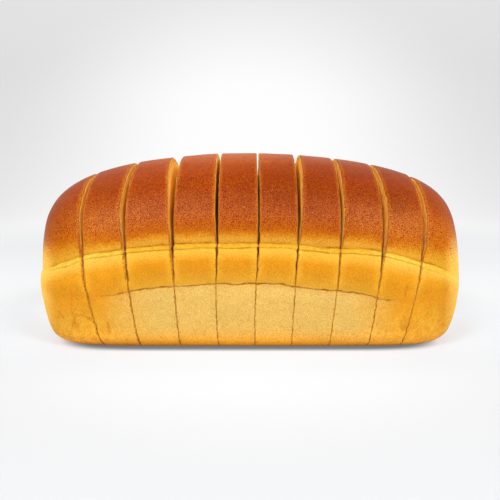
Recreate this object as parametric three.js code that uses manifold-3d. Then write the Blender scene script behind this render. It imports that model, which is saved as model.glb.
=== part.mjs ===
// Tin loaf: a tin-baked loaf with a domed crown, cut right through into ten slices that stand
// together in the loaf's shape. The slices touch at the foot and fan open above the seam that
// the rim of the tin left round the loaf.
//
// Millimetres, +Z up. X runs along the loaf and Y across it, and the origin lies at the middle
// of the base, on the surface that the loaf stands on.

import * as THREE from 'three';
import { mergeVertices } from 'three/addons/utils/BufferGeometryUtils.js';
import Module from 'manifold-3d';

// The whole loaf.
const LOAF_LENGTH = 240;
const LOAF_WIDTH = 111;
const SHOULDER_HEIGHT = 37.8; // the widest level, up to which the tin held the wall
const CROWN_RISE = 71.5; // from the shoulder up to the top of the dome
const LOAF_HEIGHT = SHOULDER_HEIGHT + CROWN_RISE;
const FOOT_RADIUS = 8.9; // rounding round the base

// The wall draws in towards the base, as the tin did.
const SIDE_DRAFT = 6.5;
const SIDE_DRAFT_CURVE = 1.6;
const END_DRAFT = 7.3;
const END_DRAFT_CURVE = 2.6;

// The dome is nearly round across the loaf and much squarer along it.
const ARCH_ACROSS = 2.5;
const ARCH_ALONG = 5.5;
const ARCH_END_FULLNESS = 1.7;

// In plan each level is a rounded oblong. These are its exponents at the wall and at the top.
const PLAN_SQUARENESS_WALL = 6.4;
const PLAN_SQUARENESS_TOP = 1.6;

// Two lines run round the loaf: the seam at the tin's rim, and the fine crack below it. Between
// them the crust bulges as a soft band, and both lines come down towards the ends.
const SEAM_HEIGHT = 59;
const SEAM_END_DROP = 21;
const SEAM_DROP_CURVE = 3.2;
const SEAM_DEPTH = 0.9;
const CRACK_HEIGHT = 38.8;
const CRACK_END_DROP = 14;
const CRACK_DROP_CURVE = 2;
const CRACK_DEPTH = 0.7;
const LINE_HALF_WIDTH = 1.6;
const BAND_BULGE = 0.9;
const RELIEF_FADE_START = 75; // from here on, counted from the middle, the relief grows fainter
const RELIEF_FADE_END = 115;
const RELIEF_FADE = 0.6; // the share of it that is gone at the ends

// The cuts. The slices fan outwards on their way up, so each cut is given by its inner face, on
// the slice nearer the middle: where that face meets the base, where it ends up in the crown,
// and how far it bows sideways between the two, all along X.
const CUT_FEET = [-81.1, -60.6, -38.4, -17, 3, 22.9, 43.7, 65.2, 83.7];
const CUT_CROWNS = [-91.1, -67.3, -41, -17.1, 5.35, 25.8, 48.95, 71.6, 94.6];
const CUT_BOWS = [-1.1, -0.4, -0.4, -1, -1, -0.6, -0.2, 0, 0];
const LEFT_CUTS = 5; // how many of the cuts have their inner face on the right of the gap
const FAN_CURVE = 1.3;
const FAN_HEIGHT = 74; // above this the cuts run straight up
const BOW_HEIGHT = 60;

// How far apart the two faces of each cut stand: the kerf up to the band, and above it the gape
// at the seam, in the crown and at the top.
const KERF = 0.5;
const GAPE_HEIGHTS = [48, 60, 78, 105];
const CUT_GAPES = [
  [1.2, 2.2, 2],
  [1.4, 2.9, 2],
  [1.7, 3.1, 5.4],
  [1, 2, 2.2],
  [1.2, 1.3, 1.4],
  [0.7, 2, 3.5],
  [0.8, 1.7, 2],
  [1.8, 3, 2],
  [1.7, 2.4, 2.2],
];

// How finely the surfaces are divided.
const POINTS_ROUND = 72;
const CORNER_PULL = 0.12; // gathers the points towards the corners in plan
const FOOT_STEPS = 3;
const WALL_STEPS = 4;
const BAND_STEPS = 4;
const DOME_STEPS = 12;
const CUT_STEPS = 18;
const LAST_RING_ANGLE = THREE.MathUtils.degToRad(86);

const SETTLING_PASSES = 8; // a skin point's height and place depend on each other

const SLAB_MARGIN = 10; // by which the cutting slabs reach past the loaf
const CRUST = new THREE.MeshStandardMaterial({ color: 0xc98a3c, roughness: 0.6, metalness: 0 });

const clamp01 = (value) => THREE.MathUtils.clamp(value, 0, 1);

function seamHeight(x) {
  return SEAM_HEIGHT - SEAM_END_DROP * Math.abs((2 * x) / LOAF_LENGTH) ** SEAM_DROP_CURVE;
}

function crackHeight(x) {
  return CRACK_HEIGHT - CRACK_END_DROP * Math.abs((2 * x) / LOAF_LENGTH) ** CRACK_DROP_CURVE;
}

// Half length, half width and plan squareness of the loaf at height z, without its relief.
function levelOutline(z) {
  if (z <= SHOULDER_HEIGHT) {
    const below = 1 - z / SHOULDER_HEIGHT;
    const foot = clamp01(1 - z / FOOT_RADIUS);
    const rounding = FOOT_RADIUS * (1 - Math.sqrt(1 - foot * foot));
    return {
      halfLength: LOAF_LENGTH / 2 - END_DRAFT * below ** END_DRAFT_CURVE - rounding,
      halfWidth: LOAF_WIDTH / 2 - SIDE_DRAFT * below ** SIDE_DRAFT_CURVE - rounding,
      squareness: PLAN_SQUARENESS_WALL,
    };
  }
  const rise = clamp01((z - SHOULDER_HEIGHT) / CROWN_RISE);
  return {
    halfLength: (LOAF_LENGTH / 2) * (1 - rise ** ARCH_ALONG) ** (1 / ARCH_END_FULLNESS),
    halfWidth: (LOAF_WIDTH / 2) * Math.sqrt(1 - rise ** ARCH_ACROSS),
    squareness: THREE.MathUtils.lerp(PLAN_SQUARENESS_WALL, PLAN_SQUARENESS_TOP, rise),
  };
}

// How far the crust stands out of the plain outline: grooves at the two lines, a bulge between.
function relief(x, z) {
  const seam = seamHeight(x);
  const crack = crackHeight(x);
  const groove = (distance) => Math.max(0, 1 - Math.abs(distance) / LINE_HALF_WIDTH);
  const band = Math.sin(Math.PI * clamp01((z - crack) / (seam - crack)));
  const endness = THREE.MathUtils.smoothstep(Math.abs(x), RELIEF_FADE_START, RELIEF_FADE_END);
  const lines = SEAM_DEPTH * groove(z - seam) + CRACK_DEPTH * groove(z - crack);
  return (BAND_BULGE * band - lines) * (1 - RELIEF_FADE * endness);
}

// The rings follow the two lines: a nominal level is carried to its height at this x.
function heightAt(level, x) {
  const lines = [0, CRACK_HEIGHT, SEAM_HEIGHT, LOAF_HEIGHT];
  const heights = [0, crackHeight(x), seamHeight(x), LOAF_HEIGHT];
  let zone = 0;
  while (zone < 2 && level > lines[zone + 1]) {
    zone += 1;
  }
  const share = (level - lines[zone]) / (lines[zone + 1] - lines[zone]);
  return THREE.MathUtils.lerp(heights[zone], heights[zone + 1], share);
}

// A point of the loaf's skin, on a nominal level and in the plan direction given by an angle.
function skinPoint(level, angle) {
  const cos = Math.cos(angle);
  const sin = Math.sin(angle);
  let x = 0;
  let y = 0;
  let z = level;
  for (let pass = 0; pass < SETTLING_PASSES; pass += 1) {
    const outline = levelOutline(z);
    const out = relief(x, z);
    const sum = Math.abs(cos) ** outline.squareness + Math.abs(sin) ** outline.squareness;
    const reach = sum ** (-1 / outline.squareness);
    x = (outline.halfLength + out) * cos * reach;
    y = (outline.halfWidth + out) * sin * reach;
    z = heightAt(level, x);
  }
  return [x, y, z];
}

// Plan angles, closer together at the corners than along the sides.
function planAngles() {
  const angles = [];
  for (let i = 0; i < POINTS_ROUND; i += 1) {
    const even = (2 * Math.PI * i) / POINTS_ROUND;
    angles.push(even + CORNER_PULL * Math.sin(4 * even));
  }
  return angles;
}

// Nominal levels of the rings: foot rounding, wall, both lines with the band, then the dome.
function ringLevels() {
  const levels = [];
  for (let i = 0; i <= FOOT_STEPS; i += 1) {
    levels.push(FOOT_RADIUS * (1 - Math.cos((Math.PI * i) / (2 * FOOT_STEPS))));
  }
  const crackFoot = CRACK_HEIGHT - LINE_HALF_WIDTH;
  for (let i = 1; i <= WALL_STEPS; i += 1) {
    levels.push(THREE.MathUtils.lerp(FOOT_RADIUS, crackFoot, i / WALL_STEPS));
  }
  levels.push(CRACK_HEIGHT);
  const bandFoot = CRACK_HEIGHT + LINE_HALF_WIDTH;
  const bandTop = SEAM_HEIGHT - LINE_HALF_WIDTH;
  for (let i = 0; i <= BAND_STEPS; i += 1) {
    levels.push(THREE.MathUtils.lerp(bandFoot, bandTop, i / BAND_STEPS));
  }
  levels.push(SEAM_HEIGHT);
  const domeFoot = SEAM_HEIGHT + LINE_HALF_WIDTH;
  const footRise = (domeFoot - SHOULDER_HEIGHT) / CROWN_RISE;
  const footAngle = Math.asin(footRise ** (ARCH_ACROSS / 2));
  for (let i = 0; i <= DOME_STEPS; i += 1) {
    const angle = THREE.MathUtils.lerp(footAngle, LAST_RING_ANGLE, i / DOME_STEPS);
    levels.push(SHOULDER_HEIGHT + CROWN_RISE * Math.sin(angle) ** (2 / ARCH_ACROSS));
  }
  return levels;
}

// The uncut loaf: rings of skin points, closed by a fan at the base and one at the top.
function loafGeometry() {
  const angles = planAngles();
  const levels = ringLevels();
  const positions = [];
  for (const level of levels) {
    for (const angle of angles) {
      positions.push(...skinPoint(level, angle));
    }
  }
  const baseCentre = positions.length / 3;
  const topCentre = baseCentre + 1;
  positions.push(0, 0, 0, 0, 0, LOAF_HEIGHT);

  const index = [];
  const lastRing = (levels.length - 1) * POINTS_ROUND;
  for (let i = 0; i < POINTS_ROUND; i += 1) {
    const next = (i + 1) % POINTS_ROUND;
    for (let ring = 0; ring < lastRing; ring += POINTS_ROUND) {
      const above = ring + POINTS_ROUND;
      index.push(ring + i, ring + next, above + next);
      index.push(ring + i, above + next, above + i);
    }
    index.push(baseCentre, next, i);
    index.push(topCentre, lastRing + i, lastRing + next);
  }
  const geometry = new THREE.BufferGeometry();
  geometry.setAttribute('position', new THREE.Float32BufferAttribute(positions, 3));
  geometry.setIndex(index);
  return geometry;
}

// The inner face of a cut at height z, on its way from the foot to the crown.
function innerFace(cut, z) {
  const rise = clamp01(z / FAN_HEIGHT);
  const bow = CUT_BOWS[cut] * Math.sin(Math.PI * clamp01(z / BOW_HEIGHT));
  const fan = 1 - (1 - rise) ** FAN_CURVE;
  return THREE.MathUtils.lerp(CUT_FEET[cut], CUT_CROWNS[cut], fan) + bow;
}

// The width of a cut at height z.
function cutGap(cut, z) {
  const widths = [KERF, ...CUT_GAPES[cut]];
  let gap = KERF;
  for (let i = 0; i + 1 < GAPE_HEIGHTS.length; i += 1) {
    const share = THREE.MathUtils.smoothstep(z, GAPE_HEIGHTS[i], GAPE_HEIGHTS[i + 1]);
    gap += (widths[i + 1] - widths[i]) * share;
  }
  return gap;
}

// Where the slice beside a cut ends at height z. Side is -1 for the slice on the left of the
// cut and 1 for the one on its right. Past the outermost slices there is no cut to stop at.
function sliceFace(cut, side, z) {
  if (cut < 0 || cut >= CUT_FEET.length) {
    return Math.sign(cut) * (LOAF_LENGTH / 2 + SLAB_MARGIN);
  }
  const outward = cut < LEFT_CUTS ? -1 : 1;
  return innerFace(cut, z) + (side === outward ? outward * cutGap(cut, z) : 0);
}

// Heights at which the outline of a slab has a corner.
function slabHeights() {
  const heights = [-SLAB_MARGIN];
  for (let i = 0; i <= CUT_STEPS; i += 1) {
    heights.push((LOAF_HEIGHT * i) / CUT_STEPS);
  }
  heights.push(LOAF_HEIGHT + SLAB_MARGIN);
  return heights;
}

// The slab that one slice is cut out with, between its two cuts and right across the loaf.
function slabGeometry(slice) {
  const heights = slabHeights();
  const left = heights.map((z) => new THREE.Vector2(sliceFace(slice - 1, 1, z), z));
  const right = heights.map((z) => new THREE.Vector2(sliceFace(slice, -1, z), z));
  const outline = new THREE.Shape([...left, ...right.reverse()]);
  const depth = LOAF_WIDTH + 2 * SLAB_MARGIN;
  const slab = new THREE.ExtrudeGeometry(outline, { depth, bevelEnabled: false });
  slab.rotateX(Math.PI / 2);
  slab.translate(0, depth / 2, 0);
  return slab;
}

function toSolid(wasm, geometry) {
  const bare = geometry.clone();
  bare.deleteAttribute('normal');
  bare.deleteAttribute('uv');
  const merged = mergeVertices(bare);
  const vertProperties = new Float32Array(merged.attributes.position.array);
  const triVerts = new Uint32Array(merged.index.array);
  return new wasm.Manifold(new wasm.Mesh({ numProp: 3, vertProperties, triVerts }));
}

function toGeometry(solid) {
  const mesh = solid.getMesh();
  const geometry = new THREE.BufferGeometry();
  geometry.setAttribute('position', new THREE.BufferAttribute(mesh.vertProperties, 3));
  geometry.setIndex(new THREE.BufferAttribute(mesh.triVerts, 1));
  geometry.computeVertexNormals();
  return geometry;
}

const wasm = await Module();
wasm.setup();

const tinLoaf = new THREE.Group();
const wholeLoaf = toSolid(wasm, loafGeometry());
for (let slice = 0; slice <= CUT_FEET.length; slice += 1) {
  const solid = wholeLoaf.intersect(toSolid(wasm, slabGeometry(slice)));
  const mesh = new THREE.Mesh(toGeometry(solid), CRUST);
  mesh.name = `slice_${String(slice + 1).padStart(2, '0')}`;
  tinLoaf.add(mesh);
}

export default tinLoaf;
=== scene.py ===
"""The looks of a sliced tin loaf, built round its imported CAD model.

Each CAD slice is replaced by a denser one of the same form, with the crust's fine relief, the
rounded edges of its cuts and the open crumb of its cut faces. The shapes are worked out in
millimetres and made in metres.
"""

import math

import bpy
import numpy as np
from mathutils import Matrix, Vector


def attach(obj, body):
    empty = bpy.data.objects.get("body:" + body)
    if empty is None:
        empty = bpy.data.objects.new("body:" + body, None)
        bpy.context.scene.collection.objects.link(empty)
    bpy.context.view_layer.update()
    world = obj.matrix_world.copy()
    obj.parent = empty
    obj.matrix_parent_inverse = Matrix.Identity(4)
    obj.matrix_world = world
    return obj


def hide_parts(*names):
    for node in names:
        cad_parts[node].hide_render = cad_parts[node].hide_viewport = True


MM = 0.001

# === The loaf's driving dimensions, in millimetres, as in the CAD model ===

HALF_LENGTH = 120.0
HALF_WIDTH = 55.5
SHOULDER_HEIGHT = 37.8
CROWN_RISE = 71.5
LOAF_HEIGHT = SHOULDER_HEIGHT + CROWN_RISE
FOOT_RADIUS = 8.9

SIDE_DRAFT = 6.5
SIDE_DRAFT_CURVE = 1.6
END_DRAFT = 7.3
END_DRAFT_CURVE = 2.6

ARCH_ACROSS = 2.5
ARCH_ALONG = 5.5
ARCH_END_FULLNESS = 1.7
PLAN_SQUARENESS_WALL = 6.4
PLAN_SQUARENESS_TOP = 1.6

SEAM_HEIGHT = 59.0
SEAM_END_DROP = 21.0
SEAM_DROP_CURVE = 3.2
CRACK_HEIGHT = 38.8
CRACK_END_DROP = 14.0
CRACK_DROP_CURVE = 2.0

# The cuts' inner faces, on the slice nearer the middle: at the foot, in the crown, and their bow.
CUT_FEET = (-81.1, -60.6, -38.4, -17.0, 3.0, 22.9, 43.7, 65.2, 83.7)
CUT_CROWNS = (-91.1, -67.3, -41.0, -17.1, 5.35, 25.8, 48.95, 71.6, 94.6)
CUT_BOWS = (-1.1, -0.4, -0.4, -1.0, -1.0, -0.6, -0.2, 0.0, 0.0)
LEFT_CUTS = 5
FAN_CURVE = 1.3
FAN_HEIGHT = 74.0
BOW_HEIGHT = 60.0
KERF = 0.5
GAPE_HEIGHTS = (48.0, 60.0, 78.0, 105.0)
CUT_GAPES = (
    (1.2, 2.2, 2.0),
    (1.4, 2.9, 2.0),
    (1.7, 3.1, 5.4),
    (1.0, 2.0, 2.2),
    (1.2, 1.3, 1.4),
    (0.7, 2.0, 3.5),
    (0.8, 1.7, 2.0),
    (1.8, 3.0, 2.0),
    (1.7, 2.4, 2.2),
)
SLICES = len(CUT_FEET) + 1

# === Relief that only the dressed slices have, in millimetres ===

# The seam and the crack leave their plain curves in broad waves: (middle, half width, rise).
SEAM_WAVES = ((-120.0, 10.0, 3.5), (-94.0, 18.0, 1.7), (44.0, 17.0, -1.9), (92.0, 22.0, -1.2))
CRACK_WAVES = ((-78.0, 12.0, -1.2), (40.0, 20.0, -1.8), (76.0, 18.0, -3.4))

BAND_BULGE = 0.9
BEAD_HALF_HEIGHT = 1.15
BEAD_RISE = 0.5
GROOVE_HALF_WIDTH = 0.65
GROOVE_DEPTH = 0.6
CRACK_HALF_WIDTH = 0.75
CRACK_DEPTH = 0.3
CRACK_LIP = 0.45
CRACK_LIP_REACH = 3.5
CRACK_FADE = (66.0, 86.0)
CROWN_INSET = 0.6
RELIEF_FADE = (75.0, 115.0)
RELIEF_FADES = (0.5, 0.95)  # how much of it goes, at the left and at the right end

BROWNER_MIDDLE = 76.0
BROWNER_WIDTH = 13.0
BROWNER_RISE = 3.0

# Roundings of the cuts' edges. The outer slice's edge is soft from the band up, the inner one's
# only at the very top.
INNER_RIM_WALL = 0.25
OUTER_RIMS_WALL = (1.0, 0.8, 0.5, 0.25, 0.25, 0.25, 0.25, 0.35, 0.45)
OUTER_RIMS_BAND = (2.0, 1.8, 1.4, 0.6, 0.5, 0.5, 0.5, 1.4, 1.1)
OUTER_RIMS_CROWN = (1.7, 1.6, 1.2, 0.9, 0.4, 1.5, 1.6, 1.5, 1.7)
INNER_RIM_CROWN = 0.45
INNER_RIMS_TOP = (1.5, 1.5, 1.5, 0.9, 0.4, 0.5, 0.9, 1.3, 1.5)
RIM_ARC_STEPS = 6
RIM_TEAR = 0.14

# One cut bows in the loaf's depth, so that it can't be seen through below its top.
BOWED_CUT = 4
CUT_DEPTH_BOW = 3.0

# The cuts wander and are ragged, nearly close low on the wall, and some are pinched at the bead.
CUT_WANDER = 0.14
CUT_TEETH = 0.26
CUT_RAG = 0.24
CUT_CLOSING = 0.19
CUT_CLOSEST = 0.23
CUT_PINCHES = (0.0, 0.3, 0.3, 0.9, 0.9, 0.7, 0.6, 0.2, 0.7)
PINCH_HALF_HEIGHT = 1.7

# Where the bead and its grooves run out towards the loaf's ends, and the creases there.
BEAD_RUN_OUT_LEFT = (105.0, 113.0)
BEAD_RUN_OUT_RIGHT = (103.0, 112.0)
CREASE_DEPTH = 0.1
CREASE_WIDTH = 0.04

# Where the crown is baked darker, or lighter if negative: along, height, their reaches, strength.
BAKE_PATCHES = (
    (30.0, 92.0, 24.0, 26.0, 1.0),
    (65.0, 98.0, 25.0, 10.0, 0.8),
    (80.0, 83.0, 16.0, 11.0, 1.0),
    (4.0, 88.0, 20.0, 22.0, 0.35),
    (-108.0, 70.0, 12.0, 8.0, 1.0),
    (110.0, 62.0, 9.0, 11.0, -0.9),
)

SECTION_CENTRE_HEIGHT = 46.0

# The meshes' rows: how far apart, and how much closer together at the two ends of their zone.
BASE_ROWS = (2.2, 0.0)
WALL_ROWS = (0.8, 0.5)
BAND_ROWS = (0.5, 0.55)
CROWN_ROWS = (0.75, 0.5)
BASE_EDGE_LEVEL = 0.4
ACROSS_STEP = 0.75
END_BASE_ROWS = 18
END_COLUMNS = 227


def clamp01(value):
    return np.clip(value, 0.0, 1.0)


def smoothstep(value, low, high):
    share = clamp01((value - low) / (high - low))
    return share * share * (3 - 2 * share)


def lerp(start, end, share):
    return start + (end - start) * share


# === Noise: values on a lattice, from a hash of the cell and a seed, joined smoothly ===


def lattice_values(cell_x, cell_y, cell_z, seed):
    mixed = cell_x * 374761393 + cell_y * 668265263 + cell_z * 1440662683 + seed * 1274126177
    mixed = mixed & 0xFFFFFFFF
    mixed = ((mixed ^ (mixed >> 13)) * 1103515245) & 0xFFFFFFFF
    mixed = ((mixed ^ (mixed >> 16)) * 747796405) & 0xFFFFFFFF
    mixed = mixed ^ (mixed >> 15)
    return mixed / 2147483647.5 - 1.0


def noise(points, size, seed):
    """Smooth noise from -1 to 1 at points (..., 3), with features about size across."""
    scaled = np.asarray(points, float) / size
    cell = np.floor(scaled)
    inside = scaled - cell
    cell = cell.astype(np.int64)
    ease = inside * inside * inside * (inside * (inside * 6 - 15) + 10)
    total = 0.0
    for step_x in (0, 1):
        weight_x = ease[..., 0] if step_x else 1 - ease[..., 0]
        for step_y in (0, 1):
            weight_y = ease[..., 1] if step_y else 1 - ease[..., 1]
            for step_z in (0, 1):
                weight_z = ease[..., 2] if step_z else 1 - ease[..., 2]
                corner = lattice_values(
                    cell[..., 0] + step_x, cell[..., 1] + step_y, cell[..., 2] + step_z, seed
                )
                total = total + corner * weight_x * weight_y * weight_z
    return total


def layered_noise(points, size, seed, layers=3):
    total = 0.0
    strength = 1.0
    whole = 0.0
    for layer in range(layers):
        total = total + strength * noise(points, size / 2**layer, seed + layer)
        whole += strength
        strength *= 0.5
    return total / whole


# === The loaf's form ===


def seam_height(x):
    return SEAM_HEIGHT - SEAM_END_DROP * np.abs(x / HALF_LENGTH) ** SEAM_DROP_CURVE


def crack_height(x):
    return CRACK_HEIGHT - CRACK_END_DROP * np.abs(x / HALF_LENGTH) ** CRACK_DROP_CURVE


def waves(x, shapes):
    return sum(rise * np.exp(-(((x - middle) / width) ** 2)) for middle, width, rise in shapes)


def seam_line(x):
    """The height of the seam's bead, with its waves."""
    return seam_height(x) + waves(x, SEAM_WAVES)


def crack_line(x):
    return crack_height(x) + waves(x, CRACK_WAVES)


def level_of(x, z):
    """The nominal level of a point: its height, with the two lines put back level."""
    return piecewise(z, crack_line(x), seam_line(x), CRACK_HEIGHT, SEAM_HEIGHT)


def height_of(x, level):
    """The height of a nominal level at x."""
    return piecewise(level, CRACK_HEIGHT, SEAM_HEIGHT, crack_line(x), seam_line(x))


def piecewise(value, from_crack, from_seam, to_crack, to_seam):
    """Carries 0, the crack, the seam and the loaf's top from one set of heights to another."""
    below = value / from_crack * to_crack
    band = to_crack + (value - from_crack) / (from_seam - from_crack) * (to_seam - to_crack)
    share = (value - from_seam) / (LOAF_HEIGHT - from_seam)
    above = to_seam + share * (LOAF_HEIGHT - to_seam)
    return np.where(value < from_crack, below, np.where(value < from_seam, band, above))


def outline_at(z):
    """Half length, half width and plan squareness at height z."""
    below = clamp01(1 - z / SHOULDER_HEIGHT)
    foot = clamp01(1 - z / FOOT_RADIUS)
    rounding = FOOT_RADIUS * (1 - np.sqrt(1 - foot * foot))
    wall_length = HALF_LENGTH - END_DRAFT * below**END_DRAFT_CURVE - rounding
    wall_width = HALF_WIDTH - SIDE_DRAFT * below**SIDE_DRAFT_CURVE - rounding
    rise = clamp01((z - SHOULDER_HEIGHT) / CROWN_RISE)
    dome_length = HALF_LENGTH * (1 - rise**ARCH_ALONG) ** (1 / ARCH_END_FULLNESS)
    dome_width = HALF_WIDTH * np.sqrt(1 - rise**ARCH_ACROSS)
    is_wall = z < SHOULDER_HEIGHT
    half_length = np.where(is_wall, wall_length, dome_length)
    half_width = np.where(is_wall, wall_width, dome_width)
    squareness = lerp(PLAN_SQUARENESS_WALL, PLAN_SQUARENESS_TOP, rise)
    return np.maximum(half_length, 1e-3), np.maximum(half_width, 1e-3), squareness


def plan_sum(x, y, z):
    """1 on the loaf's outline at height z and less inside it, and the outline's squareness."""
    half_length, half_width, squareness = outline_at(z)
    total = (np.abs(x) / half_length) ** squareness + (np.abs(y) / half_width) ** squareness
    return total, squareness


def is_inside(x, y, z):
    return (plan_sum(x, y, z)[0] < 1) & (z > 0) & (z < LOAF_HEIGHT)


def outward_normals(points):
    """Unit normals of the plain form, from how its outline changes round each point."""

    def plan_value(x, y, z):
        total, squareness = plan_sum(x, y, z)
        return total ** (1 / squareness)

    step = 0.05
    x, y, z = points[..., 0], points[..., 1], np.clip(points[..., 2], step, LOAF_HEIGHT - 2 * step)
    slope_x = plan_value(x + step, y, z) - plan_value(x - step, y, z)
    slope_y = plan_value(x, y + step, z) - plan_value(x, y - step, z)
    slope_z = plan_value(x, y, z + step) - plan_value(x, y, z - step)
    normals = np.stack([slope_x, slope_y, slope_z], -1)
    length = np.linalg.norm(normals, axis=-1, keepdims=True)
    return normals / np.maximum(length, 1e-9)


def inner_face(cut, z):
    rise = clamp01(z / FAN_HEIGHT)
    bow = CUT_BOWS[cut] * np.sin(math.pi * clamp01(z / BOW_HEIGHT))
    return lerp(CUT_FEET[cut], CUT_CROWNS[cut], 1 - (1 - rise) ** FAN_CURVE) + bow


def cut_gap(cut, z):
    widths = (KERF, *CUT_GAPES[cut])
    gap = KERF
    for start in range(len(GAPE_HEIGHTS) - 1):
        share = smoothstep(z, GAPE_HEIGHTS[start], GAPE_HEIGHTS[start + 1])
        gap = gap + (widths[start + 1] - widths[start]) * share
    return gap


def outward(cut):
    """The side of a cut that lies further from the loaf's middle: -1 is the left."""
    return -1 if cut < LEFT_CUTS else 1


def face_at(cut, side, z):
    """Where the slice on one side of a cut ends at height z: side -1 is the left one."""
    return inner_face(cut, z) + (outward(cut) * cut_gap(cut, z) if side == outward(cut) else 0)


def rim_radius(cut, side, z):
    """The rounding of a slice's edge on one side of a cut, at height z."""
    if side == outward(cut):
        in_band = lerp(OUTER_RIMS_WALL[cut], OUTER_RIMS_BAND[cut], smoothstep(z, 34, 52))
        return lerp(in_band, OUTER_RIMS_CROWN[cut], smoothstep(z, 55, 66))
    in_crown = lerp(INNER_RIM_WALL, INNER_RIM_CROWN, smoothstep(z, 34, 66))
    return lerp(in_crown, INNER_RIMS_TOP[cut], smoothstep(z, 84, 102))


def depth_bow(cut, points):
    """How far a cut's two faces swing aside together in the depth of the loaf."""
    if cut != BOWED_CUT:
        return 0.0
    _, half_width, _ = outline_at(points[..., 2])
    within = clamp01(1 - (points[..., 1] / half_width) ** 2)
    return CUT_DEPTH_BOW * (half_width / HALF_WIDTH) ** 3 * within


def cut_jag(cut, side, points):
    """How far a slice's edge at a cut is shifted along x: both sides wander together, and each
    is ragged and reaches into the gap on its own."""
    y, z = points[..., 1], points[..., 2]
    in_plane = np.stack([np.full_like(y, 37.0 * cut), y, z], -1)
    own_plane = in_plane + np.array([11.0 * side, 0.0, 0.0])
    low = 1 - smoothstep(z, 58, 66)
    wander = CUT_WANDER * layered_noise(in_plane, 8.0, 101, 2) * lerp(0.5, 1.0, low)
    wander = wander + CUT_TEETH * noise(in_plane, 1.4, 107) * lerp(0.35, 1.0, low)
    closing = CUT_CLOSING * (1 - smoothstep(z, 34, 48))
    reach = np.minimum(closing + CUT_RAG * layered_noise(own_plane, 2.0, 103, 2), CUT_CLOSEST)
    seam = seam_line(face_at(cut, side, z))
    pinch = CUT_PINCHES[cut] * 0.5 * cut_gap(cut, z) * hump(z - seam, PINCH_HALF_HEIGHT)
    own = reach * (1 - hump(z - seam, PINCH_HALF_HEIGHT)) + pinch
    return wander - side * own


# === The crust's relief and the masks that its colours follow ===


def hump(distance, half_width):
    """1 in the middle and 0 from half_width on, smoothly."""
    share = clamp01(1 - np.abs(distance) / half_width)
    return share * share * (3 - 2 * share)


def flattened(points):
    """Points for noise that changes along the loaf alone, on its front and on its back."""
    x = points[..., 0]
    return np.stack([x, np.sign(points[..., 1]) * 40.0, np.zeros_like(x)], -1)


def line_heights(points):
    """The seam's and the crack's own heights at each point, with their fine wander."""
    x, flat = points[..., 0], flattened(points)
    torn = smoothstep(-x, 58, 72)
    seam = seam_line(x) + (0.35 + 0.4 * torn) * layered_noise(flat, 9.0, 11, 3)
    crack = crack_line(x) + 0.8 * layered_noise(flat, 8.0, 21, 3) + 0.25 * noise(flat, 2.2, 25)
    return seam, crack


def line_weights(points):
    """How thick the bead, its grooves and the crack are along the loaf, round about 1."""
    flat = flattened(points)
    draws = ((9, 15), (6, 16), (5, 17), (5, 18))
    return [np.maximum(1 + 0.9 * layered_noise(flat, size, seed, 3), 0.3) for size, seed in draws]


def crust_masks(points):
    """How strongly each point belongs to the bead, its two grooves, the crack and the ends."""
    x, z = points[..., 0], points[..., 2]
    seam, crack = line_heights(points)
    bead_weight, upper_weight, lower_weight, crack_weight = line_weights(points)
    run = 1 - smoothstep(-x, *BEAD_RUN_OUT_LEFT) - smoothstep(x, *BEAD_RUN_OUT_RIGHT)
    half_height = BEAD_HALF_HEIGHT * (0.6 + 0.4 * bead_weight)
    bead = smoothstep(half_height - np.abs(z - seam), -0.25, 0.35) * run
    upper = hump(z - seam - half_height - 0.35, GROOVE_HALF_WIDTH * (0.4 + 0.6 * upper_weight)) * run
    lower = hump(z - seam + half_height + 0.35, GROOVE_HALF_WIDTH * (0.4 + 0.6 * lower_weight)) * run
    crack_fade = 1 - smoothstep(np.abs(x), *CRACK_FADE)
    split = hump(z - crack, CRACK_HALF_WIDTH * (0.35 + 0.65 * crack_weight)) * crack_fade
    ends = smoothstep(np.abs(x) + 6 * layered_noise(points, 18.0, 31, 2), 50, 86)
    return bead, upper * upper_weight, lower * lower_weight, split * crack_weight, ends


def creases(points):
    """Fine wandering creases low on the loaf's ends: 1 in their middle."""
    x, z = points[..., 0], points[..., 2]
    place = smoothstep(np.abs(x), 62, 76) * smoothstep(z, 6, 14) * (1 - smoothstep(z, 34, 44))
    upright = points * np.array([1.5, 1.5, 0.6])
    first = hump(layered_noise(upright, 19.0, 61, 3), CREASE_WIDTH)
    second = hump(layered_noise(upright, 13.0, 65, 3), CREASE_WIDTH * 1.2)
    patchy = smoothstep(layered_noise(points, 12.0, 67, 2), -0.25, 0.2)
    return np.maximum(first, 0.7 * second) * patchy * place


def bake_level(points):
    """The nominal level that a point's colour goes by: some slices are browner above the seam."""
    x = points[..., 0]
    level = level_of(x, points[..., 2])
    browner = BROWNER_RISE * np.exp(-(((np.abs(x) - BROWNER_MIDDLE) / BROWNER_WIDTH) ** 2))
    return level + browner * smoothstep(level, SEAM_HEIGHT + 1.5, SEAM_HEIGHT + 6)


def bake_patches(points):
    """How much darker the crust is baked than its level says: 1 is darkest and -1 is lightest."""
    x, z = points[..., 0], points[..., 2]
    total = sum(
        strength * np.exp(-(((x - along) / length) ** 2) - ((z - up) / height) ** 2)
        for along, up, length, height, strength in BAKE_PATCHES
    )
    return np.clip(total, -1, 1) * smoothstep(level_of(x, z), 58, 66)


def painted_tip_light(points):
    """Painted side light: how much paler the crust round the loaf's two tips is painted, between the
    crown and the foot.
    """
    x, z = points[..., 0], points[..., 2]
    low, high = np.where(x < 0, 5, 8), np.where(x < 0, 46, 50)
    in_reach = smoothstep(np.abs(x) + 2 * layered_noise(points, 9.0, 35, 2), 106, 117)
    return in_reach * smoothstep(z, low, low + 14) * (1 - smoothstep(z, high, high + 18))


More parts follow.
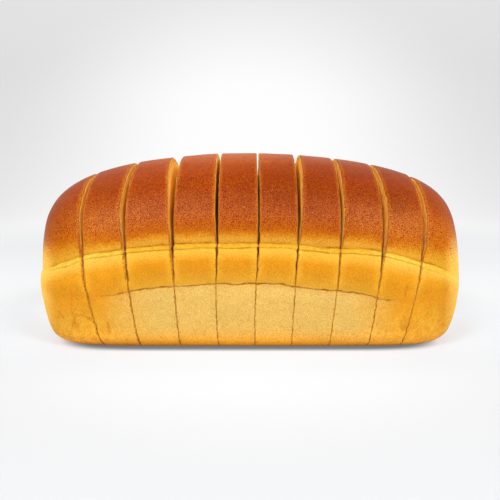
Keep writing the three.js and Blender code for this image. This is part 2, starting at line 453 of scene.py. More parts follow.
def crust_relief(points):
    """How far the crust stands out of the plain form at each point."""
    x, z = points[..., 0], points[..., 2]
    seam, crack = line_heights(points)
    bead, upper, lower, split, ends = crust_masks(points)
    end_fade = np.where(x < 0, *RELIEF_FADES)
    fade = 1 - end_fade * smoothstep(np.abs(x), *RELIEF_FADE)
    crack_fade = 1 - smoothstep(np.abs(x), *CRACK_FADE)
    band = np.sin(math.pi * clamp01((z - crack) / (seam - crack)))
    above_crack = np.maximum(z - crack, 0)
    lip = np.where(z > crack, np.exp(-above_crack / CRACK_LIP_REACH), 0)
    above_seam = np.where(z > seam, np.exp(-(((z - seam) / 9.0) ** 2)), 0)
    out = BAND_BULGE * band * fade
    out = out + BEAD_RISE * bead * fade
    out = out - GROOVE_DEPTH * (upper + 0.3 * lower) * fade
    out = out + CRACK_LIP * lip * crack_fade - CRACK_DEPTH * split
    out = out - CREASE_DEPTH * creases(points)
    out = out - CROWN_INSET * above_seam * (1 - 0.9 * smoothstep(x, 85, 112))
    uneven = 0.45 * layered_noise(points, 42.0, 41, 2) + 0.1 * layered_noise(points, 9.0, 51, 2)
    out = out + uneven
    return out * smoothstep(z, 0.0, 4.0)


# === Meshes of slices ===


def halved(is_near, near, far, passes):
    """Closes in, by halving, on the place between near and far where is_near ceases to hold."""
    for _ in range(passes):
        middle = (near + far) / 2
        holds = is_near(middle)
        near, far = np.where(holds, middle, near), np.where(holds, far, middle)
    return near, far


def arc_lengths(lines):
    """How far each point of each line lies along it."""
    steps = np.linalg.norm(np.diff(lines, axis=1), axis=-1)
    return np.concatenate([np.zeros((len(lines), 1)), np.cumsum(steps, 1)], 1)


def resampled(line, along, stations):
    """Points at stations along a line, whose own points lie at the distances along."""
    return np.stack([np.interp(stations, along, line[:, axis]) for axis in range(3)], -1)


def gathered(count, pull):
    """count + 1 shares from 0 to 1, closer together towards both ends."""
    even = np.linspace(0, 1, count + 1)
    return even - pull * np.sin(2 * math.pi * even) / (2 * math.pi)


def middle_slice_front(slice_index, shares):
    """Front halves of the sections of a slice with two cut faces, one for each share across."""
    left, right = slice_index - 1, slice_index

    def x_at(share, z):
        low = face_at(left, 1, z) + rim_radius(left, 1, z)
        high = face_at(right, -1, z) - rim_radius(right, -1, z)
        return lerp(low, high, share)

    angles = np.radians(np.linspace(-90, 90, 721))
    share = shares[:, None] * np.ones_like(angles)
    cos, sin = np.cos(angles), np.sin(angles)

    def point_at(reach):
        z = SECTION_CENTRE_HEIGHT + reach * sin
        return x_at(share, np.maximum(z, 0)), -reach * cos, z

    def is_inside_loaf(reach):
        return is_inside(*point_at(reach))

    near, far = halved(is_inside_loaf, np.zeros_like(share), np.full_like(share, 90.0), 34)
    x, y, z = point_at((near + far) / 2)
    points = np.stack([x, y, np.maximum(z, 0)], -1)
    points[:, 0, 1] = 0
    points[:, -1, 1] = 0
    return points


def resample_sections(points):
    """Puts the same rows on every section: so many along the base, wall, band and dome."""
    along = arc_lengths(points[..., 1:])
    levels = level_of(points[..., 0], points[..., 2])
    marks = []
    for distances, rising in zip(along, np.maximum.accumulate(levels, 1)):
        inner = np.interp((BASE_EDGE_LEVEL, CRACK_HEIGHT, SEAM_HEIGHT), rising, distances)
        marks.append([0.0, *inner, distances[-1]])
    marks = np.array(marks)
    plans = zip(np.diff(marks.mean(0)), (BASE_ROWS, WALL_ROWS, BAND_ROWS, CROWN_ROWS))
    shares = []
    for zone, (length, (step, pull)) in enumerate(plans):
        shares.append(zone + gathered(max(2, round(length / step)), pull)[:-1])
    shares = np.append(np.concatenate(shares), len(shares))
    rows = []
    for line, distances, mark in zip(points, along, marks):
        rows.append(resampled(line, distances, np.interp(shares, np.arange(5), mark)))
    return np.array(rows)


def closed_loops(front):
    """Whole sections from their front halves: up the front, then down the mirrored back."""
    back = front[:, -2:0:-1] * np.array([1.0, -1.0, 1.0])
    return np.concatenate([front, back], 1)


def level_curves(slice_index):
    """Skin of an end slice as curves of nominal level, from the cut's front edge to its back."""
    is_left = slice_index == 0
    cut = 0 if is_left else SLICES - 2
    sign = -1 if is_left else 1

    def face_x(z):
        return np.abs(face_at(cut, sign, z) + sign * rim_radius(cut, sign, z))

    def skin(level, angle):
        """A point of the right-hand end: angle 0 is its tip, and the cut lies towards 90."""
        cos, sin = np.cos(angle), np.sin(angle)
        next_z = level * np.ones_like(angle)
        for _ in range(13):
            z = next_z
            half_length, half_width, squareness = outline_at(z)
            reach = (np.abs(cos) ** squareness + np.abs(sin) ** squareness) ** (-1 / squareness)
            x = half_length * cos * reach
            next_z = height_of(sign * x, level)
        return x, half_width * sin * reach, z

    def is_beyond_cut(level, angle):
        x, _, z = skin(level, angle)
        return x > face_x(z)

    def is_tip_beyond_cut(level):
        return is_beyond_cut(level, np.zeros(1))

    def edge_angle(level):
        near, far = np.zeros_like(level), np.full_like(level, math.radians(89))
        near, far = halved(lambda angle: is_beyond_cut(level, angle), near, far, 36)
        return (near + far) / 2

    def level_rows(start, end, step, pull, from_top=False):
        fine = np.linspace(0, 1, 1500)
        levels = lerp(start, end, fine)
        if from_top:
            levels = end + (start - end) * (1 - fine) ** 2
        edges = np.stack(skin(levels, edge_angle(levels)), -1)
        tips = np.stack(skin(levels, np.zeros_like(levels)), -1)
        lengths = [np.linalg.norm(np.diff(line, axis=0), axis=1) for line in (edges, tips)]
        along = np.concatenate([[0], np.cumsum(np.maximum(*lengths))])
        count = max(2, round(along[-1] / step))
        return np.interp(gathered(count, pull) * along[-1], along, levels)

    seam, top = np.array([SEAM_HEIGHT]), np.array([LOAF_HEIGHT])
    top_level = halved(is_tip_beyond_cut, seam, top, 40)[0][0]
    wall = level_rows(0.0, CRACK_HEIGHT, *WALL_ROWS)
    band = level_rows(CRACK_HEIGHT, SEAM_HEIGHT, *BAND_ROWS)
    dome = level_rows(SEAM_HEIGHT, top_level, *CROWN_ROWS, from_top=True)
    levels = np.concatenate([wall[:-1], band[:-1], dome])
    edges = edge_angle(levels)
    fine = np.linspace(-1, 1, 1201)
    x, y, z = skin(levels[:, None] * np.ones_like(fine), edges[:, None] * fine)
    curves = np.stack([x, y, z], -1)
    grid = []
    for curve, along in zip(curves, arc_lengths(curves)):
        stations = np.linspace(0, along[-1], END_COLUMNS + 1)
        grid.append(resampled(curve, along, stations))
    grid = np.array(grid)
    grid[-1] = grid[-1].mean(0)
    foot = grid[0]
    hub = np.array([face_x(np.zeros(1))[0], 0.0, 0.0])
    base = [lerp(hub, foot, share) for share in np.linspace(0, 1, END_BASE_ROWS + 1)[:-1]]
    grid = np.concatenate([np.array(base), grid], 0)
    return grid * np.array([sign, 1.0, 1.0])


def section_normals(loop):
    """Outward normals of a closed section in its own plane."""
    tangent = np.roll(loop, -1, 0) - np.roll(loop, 1, 0)
    normal = np.stack([np.zeros(len(loop)), -tangent[:, 2], tangent[:, 1]], -1)
    length = np.linalg.norm(normal, axis=1, keepdims=True)
    normal = normal / np.maximum(length, 1e-9)
    centre = np.array([0.0, 0.0, SECTION_CENTRE_HEIGHT])
    facing = np.sum(normal * (loop - centre), 1, keepdims=True)
    return normal * np.where(facing < 0, -1.0, 1.0)


def crumb_relief(points):
    """Open pores and torn unevenness of a cut face, as a depth into the slice."""
    pores = clamp01(layered_noise(points, 2.4, 71, 2) - 0.25) * 1.1
    uneven = 0.12 * layered_noise(points, 6.0, 81, 2)
    return pores + uneven


def cut_face(loop, cut, side, inward):
    """Rounded edge and face of a slice: rings of points that start beside the loop.

    side is which side of the cut the slice lies on, and inward points from the face into it.
    Each ring comes with how far it is round the edge, from 0 to 1, and how deep in the face.
    """
    normals = section_normals(loop)
    radius = rim_radius(cut, side, loop[:, 2])
    rings, rims, depths = [], [], []
    for step in range(1, RIM_ARC_STEPS + 1):
        angle = math.pi / 2 * step / RIM_ARC_STEPS
        ring = loop - normals * (radius * (1 - math.cos(angle)))[:, None]
        ring[:, 2] = np.maximum(ring[:, 2], 0)
        ring[:, 0] = face_at(cut, side, ring[:, 2]) + inward * radius * (1 - math.sin(angle))
        ring[:, 0] += inward * RIM_TEAR * radius * math.sin(angle) * layered_noise(ring, 2.2, 91, 2)
        ring[:, 0] += cut_jag(cut, side, ring)
        rings.append(ring)
        rims.append(step / RIM_ARC_STEPS)
        depths.append(0.0)
    edge = rings[-1]
    hub = np.array([0.0, 0.0, SECTION_CENTRE_HEIGHT])
    spokes = hub - edge * np.array([0.0, 1.0, 1.0])
    span = np.linalg.norm(spokes, axis=1)
    distances = np.concatenate([np.arange(1, 13) * 0.8, 9.6 + np.cumsum(np.linspace(1.2, 7.0, 10))])
    shares = np.append(distances[distances < 0.9 * span.min()] / span.min(), 1.0)
    for share in shares:
        ring = edge + spokes * share
        ring[:, 0] = face_at(cut, side, ring[:, 2])
        worn = smoothstep(np.full(len(ring), share) * span, 0.0, 2.0)
        ring[:, 0] += inward * crumb_relief(ring) * worn * (1 if share < 1 else 0)
        ring[:, 0] += cut_jag(cut, side, ring) * np.exp(-share * span / 5.0) + depth_bow(cut, ring)
        rings.append(ring)
        rims.append(1.0)
        depths.append(share * span)
    return rings, rims, depths


def grid_quads(rows, columns, first, closed_rows=False):
    """Quads of a grid whose points are stored row by row."""
    row_count = rows if closed_rows else rows - 1
    row, column = np.meshgrid(np.arange(row_count), np.arange(columns - 1), indexing="ij")
    here = first + row * columns + column
    above = first + ((row + 1) % rows) * columns + column
    return np.stack([here, here + 1, above + 1, above], -1).reshape(-1, 4)


def face_quads(loop, ring_size, first, rings, outward_right):
    """Quads from a loop of existing points through the rings that start at first."""
    loops = [np.asarray(loop)]
    loops += [first + ring_size * ring + np.arange(ring_size) for ring in range(rings)]
    quads = []
    for inner, outer in zip(loops[1:], loops[:-1]):
        quad = np.stack([outer, np.roll(outer, -1), np.roll(inner, -1), inner], -1)
        quads.append(quad[:, ::-1] if outward_right else quad)
    return np.concatenate(quads)


def slice_arrays(slice_index):
    """Points, quads, face kinds and masks of one dressed slice, in millimetres."""
    is_end = slice_index in (0, SLICES - 1)
    if is_end:
        skin = level_curves(slice_index)
        rows, columns = skin.shape[:2]
        front = np.arange(rows) * columns
        back = front + columns - 1
        loops = [np.concatenate([front, back[-2:0:-1]])]
        quads = grid_quads(rows, columns, 0)
        if slice_index == 0:
            quads = quads[:, ::-1]
    else:
        width = CUT_FEET[slice_index] - CUT_FEET[slice_index - 1]
        columns = round(width / ACROSS_STEP)
        front = middle_slice_front(slice_index, np.linspace(0, 1, columns + 1))
        skin = closed_loops(resample_sections(front)).transpose(1, 0, 2)
        rows, columns = skin.shape[:2]
        loops = [np.arange(rows) * columns, np.arange(rows) * columns + columns - 1]
        quads = grid_quads(rows, columns, 0, closed_rows=True)
    plain = skin.reshape(-1, 3)
    points = plain + outward_normals(plain) * crust_relief(plain)[:, None]
    points[:, 2] = np.maximum(points[:, 2], 0)
    bead, upper, lower, split, ends = crust_masks(plain)
    edge = np.full(len(plain), 99.0)
    sides = []
    if slice_index > 0:
        sides.append((slice_index - 1, 1, 1.0, loops[0]))
    if slice_index < SLICES - 1:
        sides.append((slice_index, -1, -1.0, loops[-1]))
    for cut, side, inward, _ in sides:
        z = plain[:, 2]
        clear = np.abs(plain[:, 0] - face_at(cut, side, z)) - rim_radius(cut, side, z)
        points[:, 0] += cut_jag(cut, side, plain) * np.exp(-((np.maximum(clear, 0) / 1.5) ** 2))
        edge = np.minimum(edge, clear)
    values = {
        "level": bake_level(plain) / LOAF_HEIGHT,
        "bead": bead,
        # painted shade in the grooves beside the bead
        "groove_shade": clamp01(0.9 * upper + 0.3 * lower),
        # painted shade along the crack
        "split": clamp01(split),
        "crease": creases(plain),
        "darker": clamp01(bake_patches(plain)),
        "lighter": clamp01(-bake_patches(plain)),
        "tip": painted_tip_light(plain),
        "ends": ends,
        "edge": edge,
        "rim": np.zeros(len(plain)),
        "depth": np.zeros(len(plain)),
    }
    kinds = [0] * len(quads)
    all_points, all_quads = [points], [quads]
    count = len(points)
    for cut, side, inward, loop in sides:
        rings, rims, depths = cut_face(points[loop], cut, side, inward)
        size = len(loop)
        all_points.extend(rings)
        faces = face_quads(loop, size, count, len(rings), outward_right=inward < 0)
        all_quads.append(faces)
        kinds.extend([0 if quad // size < RIM_ARC_STEPS // 2 else 1 for quad in range(len(faces))])
        for ring, rim, depth in zip(rings, rims, depths):
            own = {"level": bake_level(ring) / LOAF_HEIGHT, "edge": 0.0, "rim": rim, "depth": depth}
            for name, value in values.items():
                added = own[name] * np.ones(size) if name in own else value[loop]
                values[name] = np.append(value, added)
        count += size * len(rings)
    return np.concatenate(all_points), np.concatenate(all_quads), kinds, values


def dressed_slice(slice_index, crust, crumb):
    node = f"slice_{slice_index + 1:02d}"
    points, quads, kinds, values = slice_arrays(slice_index)
    points, faces, values, kinds = welded(points, quads, values, kinds)
    mesh = bpy.data.meshes.new(node + "_bread")
    mesh.from_pydata((points * MM).tolist(), [], faces)
    mesh.materials.append(crust)
    mesh.materials.append(crumb)
    mesh.polygons.foreach_set("material_index", kinds)
    mesh.polygons.foreach_set("use_smooth", [True] * len(faces))
    for name, value in values.items():
        attribute = mesh.attributes.new(name, "FLOAT", "POINT")
        attribute.data.foreach_set("value", value.astype(np.float32))
    mesh.update()
    piece = bpy.data.objects.new(node + "_bread", mesh)
    bpy.context.scene.collection.objects.link(piece)
    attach(piece, "root")
    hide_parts(node)
    return piece


def welded(vertices, quads, values, kinds):
    """Joins points that coincide, and drops the faces and corners that vanish with it."""
    keys, first, which = np.unique(
        np.round(vertices, 4), axis=0, return_index=True, return_inverse=True
    )
    which = which.reshape(-1)
    joined = which[quads]
    repeated = (joined == np.roll(joined, 1, 1)).any(1)
    faces = joined.tolist()
    kept_kinds = list(kinds)
    for spot in np.nonzero(repeated)[0][::-1]:
        quad = faces[spot]
        corners = [corner for place, corner in enumerate(quad) if corner != quad[place - 1]]
        if len(set(corners)) > 2:
            faces[spot] = corners
        else:
            del faces[spot]
            del kept_kinds[spot]
    return keys, faces, {name: value[first] for name, value in values.items()}, kept_kinds


# === Materials ===

LIGHT_GAIN = 1.35  # how bright the stage's light makes a white surface that faces the camera


def screen_to_linear(value):
    share = value / 255
    return share / 12.92 if share <= 0.04045 else ((share + 0.055) / 1.055) ** 2.4


def seen(red, green, blue):
    """The surface colour that looks like these 8-bit screen values under the stage's light."""
    return (*(screen_to_linear(value) / LIGHT_GAIN for value in (red, green, blue)), 1.0)


class NodeBuilder:
    """Short ways to add the nodes of one material."""

    def __init__(self, name):
        self.material = bpy.data.materials.new(name)
        self.material.use_nodes = True
        self.tree = self.material.node_tree
        self.shader = self.tree.nodes["Principled BSDF"]

    def node(self, kind, **settings):
        made = self.tree.nodes.new(kind)
        for name, value in settings.items():
            setattr(made, name, value)
        return made

    def link(self, source, target):
        self.tree.links.new(source, target)

    def feed(self, socket, value):
        """Sets a number or colour on the socket itself, and links anything else to it."""
        if isinstance(value, (int, float, tuple)):
            socket.default_value = value
        else:
            self.link(value, socket)

    def attribute(self, name):
        return self.node("ShaderNodeAttribute", attribute_name=name).outputs["Fac"]

    def texture(self, kind, size_mm):
        made = self.node(kind)
        made.inputs["Scale"].default_value = 1 / (size_mm * MM)
        coordinates = self.node("ShaderNodeTexCoord")
        self.link(coordinates.outputs["Object"], made.inputs["Vector"])
        return made

    def noise(self, size_mm, detail=3.0, roughness=0.55):
        made = self.texture("ShaderNodeTexNoise", size_mm)
        made.inputs["Detail"].default_value = detail
        made.inputs["Roughness"].default_value = roughness
        return made.outputs["Fac"]

    def pores(self, spacing_mm, radius):
        """1 in small round spots, one to a cell and not in every cell, and 0 between them."""
        cells = self.texture("ShaderNodeTexVoronoi", spacing_mm)
        spot = self.spread(cells.outputs["Distance"], radius * 1.8, radius * 0.6)
        chance = self.spread(self.noise(spacing_mm * 4, 3.0), 0.42, 0.58)
        return self.times(spot, chance)

    def math(self, operation, *values):
        made = self.node("ShaderNodeMath", operation=operation)
        for socket, value in zip(made.inputs, values):
            self.feed(socket, value)
        return made.outputs[0]

    def times(self, first, second):
        return self.math("MULTIPLY", first, second)

    def plus(self, first, second):
        return self.math("ADD", first, second)

    def spread(self, value, low, high, to_low=0.0, to_high=1.0):
        made = self.node("ShaderNodeMapRange", interpolation_type="SMOOTHSTEP")
        self.link(value, made.inputs["Value"])
        made.inputs["From Min"].default_value = low
        made.inputs["From Max"].default_value = high
        made.inputs["To Min"].default_value = to_low
        made.inputs["To Max"].default_value = to_high
        return made.outputs["Result"]

    def ramp(self, value, stops):
        made = self.node("ShaderNodeValToRGB")
        ramp = made.color_ramp
        for position, colour in stops[2:]:
            ramp.elements.new(position)
        for element, (position, colour) in zip(sorted(ramp.elements, key=lambda e: e.position), stops):
            element.position = position
            element.color = colour
        self.link(value, made.inputs["Fac"])
        return made.outputs["Color"]

    def mix(self, share, first, second, blend="MIX"):
        made = self.node("ShaderNodeMix", data_type="RGBA", blend_type=blend)
        sockets = {socket.identifier: socket for socket in made.inputs}
        for key, value in (("Factor_Float", share), ("A_Color", first), ("B_Color", second)):
            self.feed(sockets[key], value)
        return next(s for s in made.outputs if s.identifier == "Result_Color")

    def tint(self, colour, share, strength, tone):
        """Carries a colour towards a tone, by a share of a strength."""
        return self.mix(self.times(share, strength), colour, tone)

    def bump(self, height, distance_mm, strength=1.0, below=None):
        made = self.node("ShaderNodeBump")
        made.inputs["Distance"].default_value = distance_mm * MM
        made.inputs["Strength"].default_value = strength
        self.link(height, made.inputs["Height"])
        if below is not None:
            self.link(below, made.inputs["Normal"])
        return made.outputs["Normal"]

    def finished(self, values):
        """The material, with these values on its shader's inputs."""
        for name, value in values.items():
            self.feed(self.shader.inputs[name], value)
        return self.material


def level_stops(stops):
    """Ramp stops from heights in millimetres."""
    return [(height / LOAF_HEIGHT, seen(*colour)) for height, colour in stops]


# Crust tones by height. Low on the foot some values pass 255, painted light from the bright floor
# below it; the top stop is lighter, a painted sheen along the crown's top edge.
CRUST_MIDDLE = (
    (0.0, (270, 148, 12)), (3.0, (292, 190, 36)), (5.5, (282, 192, 60)),
    (8.5, (258, 190, 80)), (13.0, (243, 194, 96)), (20.0, (240, 194, 101)),
    (30.0, (239, 193, 100)), (35.0, (240, 195, 104)), (37.5, (236, 188, 96)),
    (40.0, (227, 164, 48)), (46.0, (224, 150, 30)), (51.0, (229, 148, 18)),
    (55.0, (247, 178, 54)), (57.3, (250, 186, 60)), (59.8, (232, 172, 50)),
    (61.3, (222, 157, 44)), (63.0, (224, 158, 50)), (65.2, (214, 132, 14)),
    (67.4, (192, 96, 0)), (69.4, (186, 86, 0)), (71.5, (180, 81, 1)),
    (74.5, (174, 74, 6)), (78.7, (166, 66, 6)), (85.0, (158, 60, 5)),
    (96.0, (161, 61, 3)), (102.0, (172, 70, 5)), (109.0, (208, 106, 40)),
)

# At the ends, too, values past 255 low on the foot are painted light from the floor below it.
CRUST_ENDS = (
    (0.0, (214, 98, 4)), (2.2, (272, 156, 18)), (4.5, (294, 198, 50)),
    (8.0, (278, 198, 66)), (16.0, (256, 188, 60)), (26.0, (248, 179, 48)),
    (38.0, (240, 162, 36)), (46.0, (234, 156, 26)), (51.0, (238, 161, 30)),
    (55.0, (246, 186, 68)), (58.0, (248, 199, 78)), (60.0, (230, 167, 42)),
    (62.0, (230, 163, 44)), (65.0, (219, 143, 26)), (67.5, (206, 117, 8)),
    (70.0, (193, 97, 4)), (73.0, (189, 93, 6)), (78.0, (184, 88, 10)),
    (84.0, (167, 71, 8)), (92.0, (158, 61, 5)), (105.0, (166, 64, 4)),
)

CRUMB_EDGE = (0.52, 0.26, 0.05, 1.0)
CRUMB_COLOUR = (0.9, 0.5, 0.1, 1.0)
CRUMB_SHADE = (0.94, 0.47, 0.06, 1.0)
# painted shade: the saturated orange of the shade deep in the gaps
CRUMB_GAP_SHADE = (0.98, 0.42, 0.04, 1.0)


def crust_material():
    """Crust: its bands follow the level, which is a share of the loaf's height."""
    build = NodeBuilder("crust")
    spread, times, plus, tint = build.spread, build.times, build.plus, build.tint
    level = build.attribute("level")
    ends = build.attribute("ends")
    on_crown = spread(level, 0.57, 0.64)
    above_seam = spread(level, 0.545, 0.565)
    in_band = times(spread(level, 0.36, 0.4), spread(level, 0.56, 0.5))

    # bands of colour by height, ragged where the crown's brown begins
    wander = plus(build.noise(6.0, 4.0, 0.65), times(build.noise(1.6, 2.0), 0.6))
    shift = times(build.math("SUBTRACT", wander, 0.8), 0.036)
    moved = plus(level, times(shift, above_seam))
    middle = build.ramp(moved, level_stops(CRUST_MIDDLE))
    outer = build.ramp(moved, level_stops(CRUST_ENDS))
    colour = build.mix(ends, middle, outer)

    # mottled crust low on the ends with painted shade in its creases, and a paler border beside the
    # cuts in the band
    edge = build.attribute("edge")
    below_band = times(spread(level, 0.48, 0.36), ends)
    patches = spread(build.noise(4.5, 5.0, 0.7), 0.42, 0.6)
    colour = tint(colour, times(patches, below_band), 0.5, seen(236, 144, 30))
    colour = tint(colour, build.attribute("crease"), 0.8, seen(208, 118, 6))
    border = times(spread(edge, 4.5, 0.3), in_band)
    colour = tint(colour, border, 0.3, seen(255, 196, 62))

    # the bead, its grooves and the crack
    # partly painted highlight: the bead is pale yellow, and its paler patches are painted shine
    shine = spread(build.noise(2.2, 3.0), 0.4, 0.62)
    bead_low = build.mix(ends, seen(232, 168, 22), seen(250, 196, 50))
    bead_high = build.mix(ends, seen(244, 186, 46), seen(254, 216, 92))
    bead_colour = build.mix(shine, bead_low, bead_high)
    colour = tint(colour, build.attribute("bead"), 0.7, bead_colour)
    streak = spread(build.noise(3.0, 2.0), 0.35, 0.6, 0.35, 1.0)
    # painted shade in the grooves beside the bead, broken into streaks
    groove_shade = times(build.attribute("groove_shade"), streak)
    colour = tint(colour, groove_shade, 0.8, seen(180, 108, 0))
    # painted shade along the crack, under the band's lip
    split = times(build.attribute("split"), streak)
    colour = tint(colour, split, 0.95, seen(186, 114, 0))

    # the crust turns orange towards each cut on the crown; on the wall, painted shade of the cuts lies
    # in brown spots beside them
    ragged = plus(edge, spread(build.noise(1.2, 2.0), 0.2, 0.8, -0.5, 0.5))
    near_cut = times(spread(ragged, 1.4, 0.0), on_crown)
    colour = tint(colour, near_cut, 0.5, seen(204, 104, 10))
    cut_line_shade = times(spread(ragged, 0.5, -0.2), spread(level, 0.5, 0.4))
    dots = spread(build.noise(1.5, 2.0), 0.56, 0.42)
    dotted = build.math("MAXIMUM", dots, above_seam)
    cut_line_shade = times(cut_line_shade, dotted)
    colour = tint(colour, cut_line_shade, 0.5, seen(220, 146, 24))

    # the cuts' rounded edges go from the crust's tone to the crumb's, with painted shade in brown
    # spots on the wall
    torn = spread(build.noise(0.8, 2.0), 0.2, 0.8, -0.1, 0.1)
    rim = plus(build.attribute("rim"), torn)
    first = build.mix(above_seam, seen(208, 122, 0), seen(184, 98, 18))
    first_share = times(spread(rim, 0.0, 0.2), spread(dotted, 0, 1, 0.3, 1))
    colour = build.mix(first_share, colour, first)
    wall_rim_shade = build.mix(dots, seen(236, 158, 0), seen(180, 92, 0))
    last = build.mix(above_seam, wall_rim_shade, seen(174, 100, 22))
    colour = build.mix(spread(rim, 0.25, 0.6), colour, last)

    # places that are baked darker or lighter than the rest, and painted side light on the tips
    colour = build.mix(build.attribute("darker"), colour, (0.84, 0.79, 0.75, 1.0), "MULTIPLY")
    colour = build.mix(build.attribute("lighter"), colour, (1.12, 1.3, 1.5, 1.0), "MULTIPLY")
    colour = tint(colour, build.attribute("tip"), 0.75, seen(290, 232, 108))

    # fine grain, stronger on the crown and in its paler tones
    grain = build.noise(0.5, 1.0, 0.5)
    mottle = spread(build.noise(9.0, 3.0), 0.3, 0.7, -0.04, 0.04)
    centred = spread(grain, 0.32, 0.68, -0.5, 0.5)
    shade = build.node("ShaderNodeCombineColor")
    channels = (("Red", 0.21, 0.85), ("Green", 0.26, 2.0), ("Blue", 0.8, 6.0))
    for channel, on_wall, on_top in channels:
        strength = spread(level, 0.56, 0.68, on_wall, on_top)
        tone = plus(times(centred, strength), mottle)
        build.link(build.math("MAXIMUM", plus(tone, 1.0), 0.15), shade.inputs[channel])
    colour = build.mix(1.0, colour, shade.outputs["Color"], "MULTIPLY")

    # open pores low on the walls, painted darker as their shade
    low = spread(level, 0.22, 0.04)
    pore_share = times(build.pores(1.0, 0.19), spread(level, 0.37, 0.33))
    pore_shade = build.mix(low, seen(204, 138, 44), seen(184, 96, 10))
    pore_strength = times(pore_share, plus(0.45, times(low, 0.35)))
    colour = build.mix(pore_strength, colour, pore_shade)

    rough = spread(grain, 0.35, 0.65, 0.36, 0.18)
    swell = build.bump(build.noise(2.4, 3.0), 0.3, 0.5)
    fine = build.bump(grain, 0.2, 1.0, swell)
    values = {
        "Base Color": colour,
        "Roughness": plus(rough, spread(level, 0.66, 0.56, 0, 0.3)),
        "Specular IOR Level": 0.1,
        "Specular Tint": (1.0, 0.86, 0.52, 1.0),
        "Normal": build.bump(build.math("SUBTRACT", 1.0, pore_share), 0.3, 0.5, fine),
    }
    return build.finished(values)


def crumb_material():
    build = NodeBuilder("crumb")
    depth = build.attribute("depth")
    patch = build.spread(build.noise(1.8, 4.0), 0.35, 0.65)
    open_crumb = build.mix(patch, CRUMB_COLOUR, CRUMB_SHADE)
    shallow = build.mix(build.spread(depth, 0.0, 2.2), CRUMB_EDGE, open_crumb)
    # deeper into the face the crumb is painted the orange of the gaps' shade
    colour = build.mix(build.spread(depth, 4.0, 25.0), shallow, CRUMB_GAP_SHADE)
    holes = build.math("SUBTRACT", 1.0, build.pores(1.5, 0.3))
    values = {
        "Base Color": colour,
        "Roughness": 0.9,
        "Specular IOR Level": 0.05,
        "Subsurface Weight": 1.0,
        "Subsurface Radius": (1.0, 0.75, 0.4),
        "Subsurface Scale": 6.0 * MM,
        "Normal": build.bump(holes, 0.4, 0.7),
    }
    return build.finished(values)


# === Stage: floor, backdrop, light and camera ===

CAMERA_DISTANCE = 369.2
CAMERA_AIM_HEIGHT = 55.4
CAMERA_PLACE_ELEVATION = 7.0
CAMERA_PITCH = 7.95
FOCAL_PIXELS = 590.0
FRAME_PIXELS = 500.0
SENSOR_WIDTH = 36.0


def make_camera():
    data = bpy.data.cameras.new("camera")
    data.sensor_width = SENSOR_WIDTH
    data.lens = SENSOR_WIDTH * FOCAL_PIXELS / FRAME_PIXELS
    data.clip_start = 0.01
    data.clip_end = 50.0
    camera = bpy.data.objects.new("camera", data)
    place = math.radians(CAMERA_PLACE_ELEVATION)
    camera.location = (
        0.0,
        -CAMERA_DISTANCE * math.cos(place) * MM,
        (CAMERA_AIM_HEIGHT + CAMERA_DISTANCE * math.sin(place)) * MM,
    )
    camera.rotation_euler = (math.radians(90 - CAMERA_PITCH), 0.0, 0.0)
    bpy.context.scene.collection.objects.link(camera)
    bpy.context.scene.camera = camera


def length_of(build, first, second):
    """Nodes for the length of a vector with two parts."""
    squares = [build.math("POWER", part, 2.0) for part in (first, second)]
    return build.math("SQRT", build.plus(*squares))


def sweep_material():
    """White paper: it takes the loaf's shadow close by, has a painted shadow under the loaf's
    overhang, and glows as painted light, brighter round the loaf, with dim corners far off.
    """
    build = NodeBuilder("sweep")
    spread, times, plus = build.spread, build.times, build.plus
    coordinates = build.node("ShaderNodeTexCoord")
    place = build.node("ShaderNodeSeparateXYZ")
    build.link(coordinates.outputs["Object"], place.inputs[0])
    along, across, height = place.outputs["X"], place.outputs["Y"], place.outputs["Z"]
    reach = length_of(build, along, across)
    rise = build.math("MAXIMUM", build.math("SUBTRACT", height, 0.25), 0.0)
    aside = length_of(build, along, times(rise, 1.6))
    stretched = length_of(build, times(along, 0.8), times(across, 1.5))
    # painted light: the paper glows, in a pool that is brightest round the loaf, and dimmer towards
    # the far corners
    far = spread(reach, 0.45, 0.9)
    near_glow = spread(reach, 0.06, 0.195, 0.515, 0.352)
    near_glow = plus(near_glow, spread(across, -0.03, 0.08, 0.0, 0.075))
    near_glow = plus(near_glow, spread(across, 0.12, 0.35, 0.0, -0.037))
    far_glow = spread(aside, 0.1, 0.78, 0.85, 0.615)
    far_glow = plus(far_glow, spread(rise, 0.12, 0.38, 0.0, 0.035))
    glow = build.mix(far, near_glow, far_glow)
    # painted: near the loaf the paper is tinted bluish, to cancel the orange light the loaf throws on
    # it
    bluish, plain = (0.33, 0.363, 0.403, 1.0), (0.33, 0.336, 0.344, 1.0)
    near_colour = build.mix(spread(stretched, 0.08, 0.19), bluish, plain)
    colour = build.mix(far, near_colour, (0.12, 0.12, 0.12, 1.0))

    # painted shadow: the ground right under the loaf's overhang is painted dark, and its glow is
    # turned down there
    inside = []
    for axis, half in (("X", 0.103), ("Y", 0.0493)):
        share = times(build.math("ABSOLUTE", place.outputs[axis]), 1 / half)
        inside.append(build.math("POWER", share, 7.0))
    footprint = build.math("POWER", plus(*inside), 1 / 7.0)
    under = spread(footprint, 1.08, 0.93)
    values = {
        "Base Color": build.mix(under, colour, (0.04, 0.045, 0.05, 1.0)),
        "Emission Color": (1.0, 1.0, 1.0, 1.0),
        "Emission Strength": build.mix(under, glow, (0.18, 0.18, 0.18, 1.0)),
        "Roughness": 0.95,
        "Specular IOR Level": 0.0,
    }
    return build.finished(values)


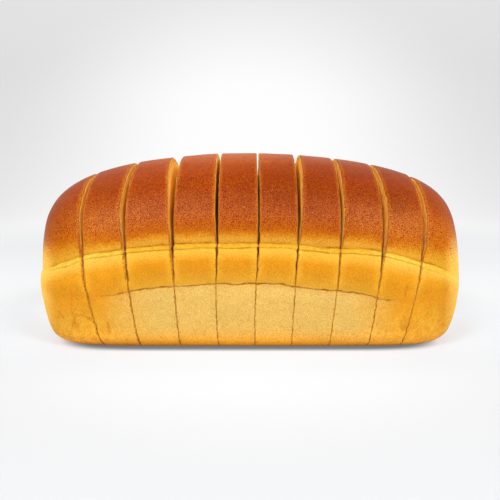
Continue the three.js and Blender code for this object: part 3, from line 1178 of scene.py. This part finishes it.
def make_backdrop():
    """A white sweep: floor in front, rising in a wide curve behind."""
    half_width = 9.0
    front, back, radius, top = -9.0, 1.6, 0.8, 6.0
    profile = [(front, 0.0), (back - radius, 0.0)]
    for step in range(1, 17):
        angle = math.pi / 2 * step / 16
        profile.append((back - radius + radius * math.sin(angle), radius * (1 - math.cos(angle))))
    profile.append((back, top))
    points = [(side, y, z) for y, z in profile for side in (-half_width, half_width)]
    faces = [(2 * i, 2 * i + 1, 2 * i + 3, 2 * i + 2) for i in range(len(profile) - 1)]
    mesh = bpy.data.meshes.new("sweep")
    mesh.from_pydata(points, [], faces)
    mesh.polygons.foreach_set("use_smooth", [True] * len(faces))
    mesh.materials.append(sweep_material())
    sweep = bpy.data.objects.new("sweep", mesh)
    bpy.context.scene.collection.objects.link(sweep)
    sweep.visible_glossy = False


# Area lights, by azimuth, elevation and distance from the loaf's middle, size, power, whether
# they are reflected, and whether they light: two soft boxes with reflections on the crown's
# front, and weaker lights all round.
LIGHTS = (
    ("key_left", -30, 43, 1.4, (0.44, 0.28), 11.0, True, True),
    ("key_right", 37, 39, 1.4, (0.44, 0.28), 10.0, True, True),
    ("shine_left", -29, 43, 1.4, (0.3, 0.24), 9.0, True, False),
    ("shine_right", 37, 39, 1.4, (0.3, 0.24), 8.0, True, False),
    ("side_left", -115, 12, 1.5, (1.0, 0.8), 7.0, False, True),
    ("side_right", 115, 12, 1.5, (1.0, 0.8), 7.0, False, True),
    ("front_fill", 0, 10, 1.9, (2.4, 0.7), 6.0, False, True),
    ("top_back", 180, 62, 1.5, (1.4, 0.5), 6.0, False, True),
)
LIGHTS_AIM = Vector((0.0, 0.0, 0.06))
WORLD_STRENGTH = 0.48


def make_lights():
    for name, azimuth, elevation, distance, size, power, is_reflected, is_lighting in LIGHTS:
        data = bpy.data.lights.new(name, "AREA")
        data.shape = "RECTANGLE"
        data.size, data.size_y = size
        data.energy = power
        lamp = bpy.data.objects.new(name, data)
        lamp.visible_glossy = is_reflected
        lamp.visible_diffuse = is_lighting
        lamp.location = LIGHTS_AIM + direction(azimuth, elevation) * distance
        facing = LIGHTS_AIM - lamp.location
        lamp.rotation_euler = facing.to_track_quat("-Z", "Y").to_euler()
        bpy.context.scene.collection.objects.link(lamp)
    world = bpy.data.worlds.new("world")
    world.use_nodes = True
    background = world.node_tree.nodes["Background"]
    background.inputs["Color"].default_value = (1.0, 1.0, 1.0, 1.0)
    background.inputs["Strength"].default_value = WORLD_STRENGTH
    bpy.context.scene.world = world


def direction(azimuth, elevation):
    """A unit vector in degrees: azimuth 0 is the front, towards the camera, and 90 is +X."""
    turn, rise = math.radians(azimuth), math.radians(elevation)
    return Vector(
        (math.sin(turn) * math.cos(rise), -math.cos(turn) * math.cos(rise), math.sin(rise))
    )


# === The scene ===

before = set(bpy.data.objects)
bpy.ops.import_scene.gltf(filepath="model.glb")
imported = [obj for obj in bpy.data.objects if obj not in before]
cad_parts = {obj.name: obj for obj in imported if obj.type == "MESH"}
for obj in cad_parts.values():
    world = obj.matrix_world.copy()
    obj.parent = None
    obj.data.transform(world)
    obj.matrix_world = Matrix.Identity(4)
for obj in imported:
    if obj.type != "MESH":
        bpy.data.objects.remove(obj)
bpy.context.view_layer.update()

make_camera()
crust = crust_material()
crumb = crumb_material()
for slice_index in range(SLICES):
    dressed_slice(slice_index, crust, crumb)

make_backdrop()
make_lights()
bpy.context.scene.view_settings.view_transform = "Standard"
